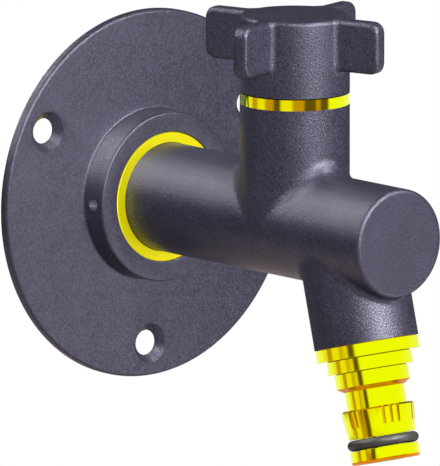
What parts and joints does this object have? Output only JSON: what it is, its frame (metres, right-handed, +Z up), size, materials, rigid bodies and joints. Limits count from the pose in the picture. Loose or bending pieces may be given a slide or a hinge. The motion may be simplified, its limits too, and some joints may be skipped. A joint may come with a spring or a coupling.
{
  "type": "garden tap",
  "caption": "Wall-mounted garden tap with a round rosette, slanted outlet, cross handle on a quarter-turn ceramic valve and a quick-connect hose plug.",
  "frame": {"origin": "centre of the rosette's back face, on the pipe's axis, where it meets the wall", "axes": "-Y out of the wall along the pipe, +Z up along the neck and the handle's axis, +X to the right when facing the wall"},
  "size_m": [0.085, 0.108, 0.1003],
  "materials": {
    "graphite_coat": "fine-grained satin powder coat",
    "brass": "polished",
    "steel": "bright",
    "rubber": "smooth, slightly glossy",
    "ceramic": "lapped ceramic",
    "white_plastic": "plain"
  },
  "bodies": {
    "tap": {"wall_rosette": "graphite_coat", "rosette_grub_screw": "steel", "rosette_o_ring": "rubber", "inlet_nipple": "brass", "nipple_o_ring": "rubber", "tap_body": "graphite_coat", "bonnet": "brass", "bonnet_o_ring": "rubber", "seat_seal": "rubber", "fixed_disc": "ceramic", "thrust_washer": "white_plastic", "hose_plug": "brass", "plug_o_ring": "rubber", "plug_gasket": "rubber", "check_housing": "white_plastic", "check_o_ring": "rubber", "check_spring": "steel"},
    "handle": {"handle": "graphite_coat", "handle_grub_screw": "steel", "spindle": "brass", "spindle_o_rings": "rubber", "spindle_circlip": "steel"},
    "upper_disc": {"rotating_disc": "ceramic"},
    "poppet": {"check_poppet": "white_plastic", "check_poppet_seal": "rubber"}
  },
  "joints": [
    {"name": "handle_turn", "type": "hinge", "parent": "tap", "child": "handle", "pos_m": [0, -0.0533, 0.0302], "axis": [0, 0, 1], "range_deg": [0, 90]},
    {"name": "disc_turn", "type": "hinge", "parent": "tap", "child": "upper_disc", "pos_m": [0, -0.0533, 0.0078], "axis": [0, 0, 1], "range_deg": [0, 90]},
    {"name": "poppet_lift", "type": "slide", "parent": "tap", "child": "poppet", "axis": [0, -0.2588, -0.9659], "range_m": [0, 0.002], "stiffness_N_per_m": 120, "springref_m": -0.002, "deforming": ["check_spring"]}
  ],
  "couplings": [
    {"joint": "disc_turn", "follows": "handle_turn", "ratio": 1}
  ]
}
